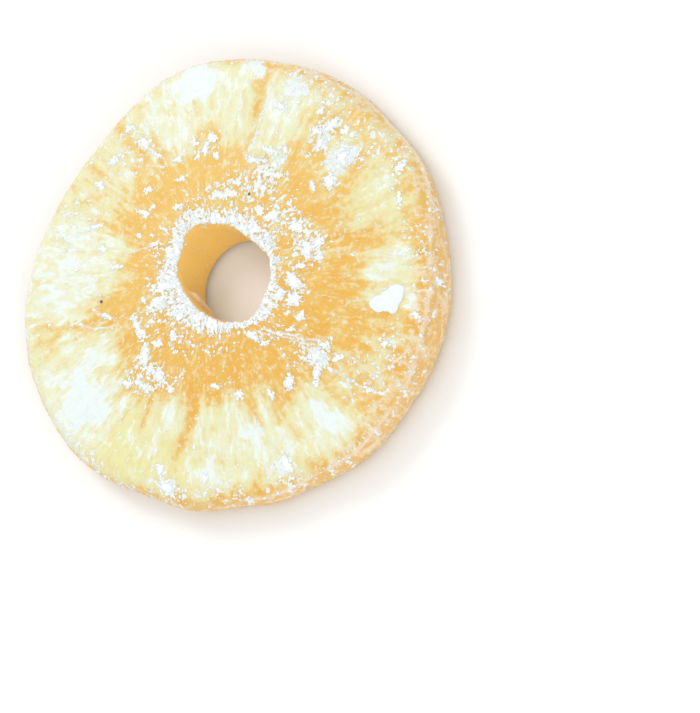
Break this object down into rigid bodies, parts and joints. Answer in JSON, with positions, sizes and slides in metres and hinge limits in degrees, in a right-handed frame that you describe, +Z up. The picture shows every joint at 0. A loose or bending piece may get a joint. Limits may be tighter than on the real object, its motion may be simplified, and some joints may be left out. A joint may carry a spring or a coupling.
{
  "type": "candied pineapple ring",
  "caption": "Candied pineapple ring dusted with sugar: a round cut slice with a punched core hole, a thick lip round it and an uneven rounded edge.",
  "frame": {"origin": "bottom centre of the bounding box, on the surface that the ring lies on", "axes": "+Z straight up through the ring, along its thickness; +X and +Y in the plane it lies on"},
  "size_m": [0.081, 0.0786, 0.0095],
  "materials": {
    "candied_flesh": null
  },
  "bodies": {
    "root": {"pineapple_ring": "candied_flesh"}
  },
  "joints": []
}
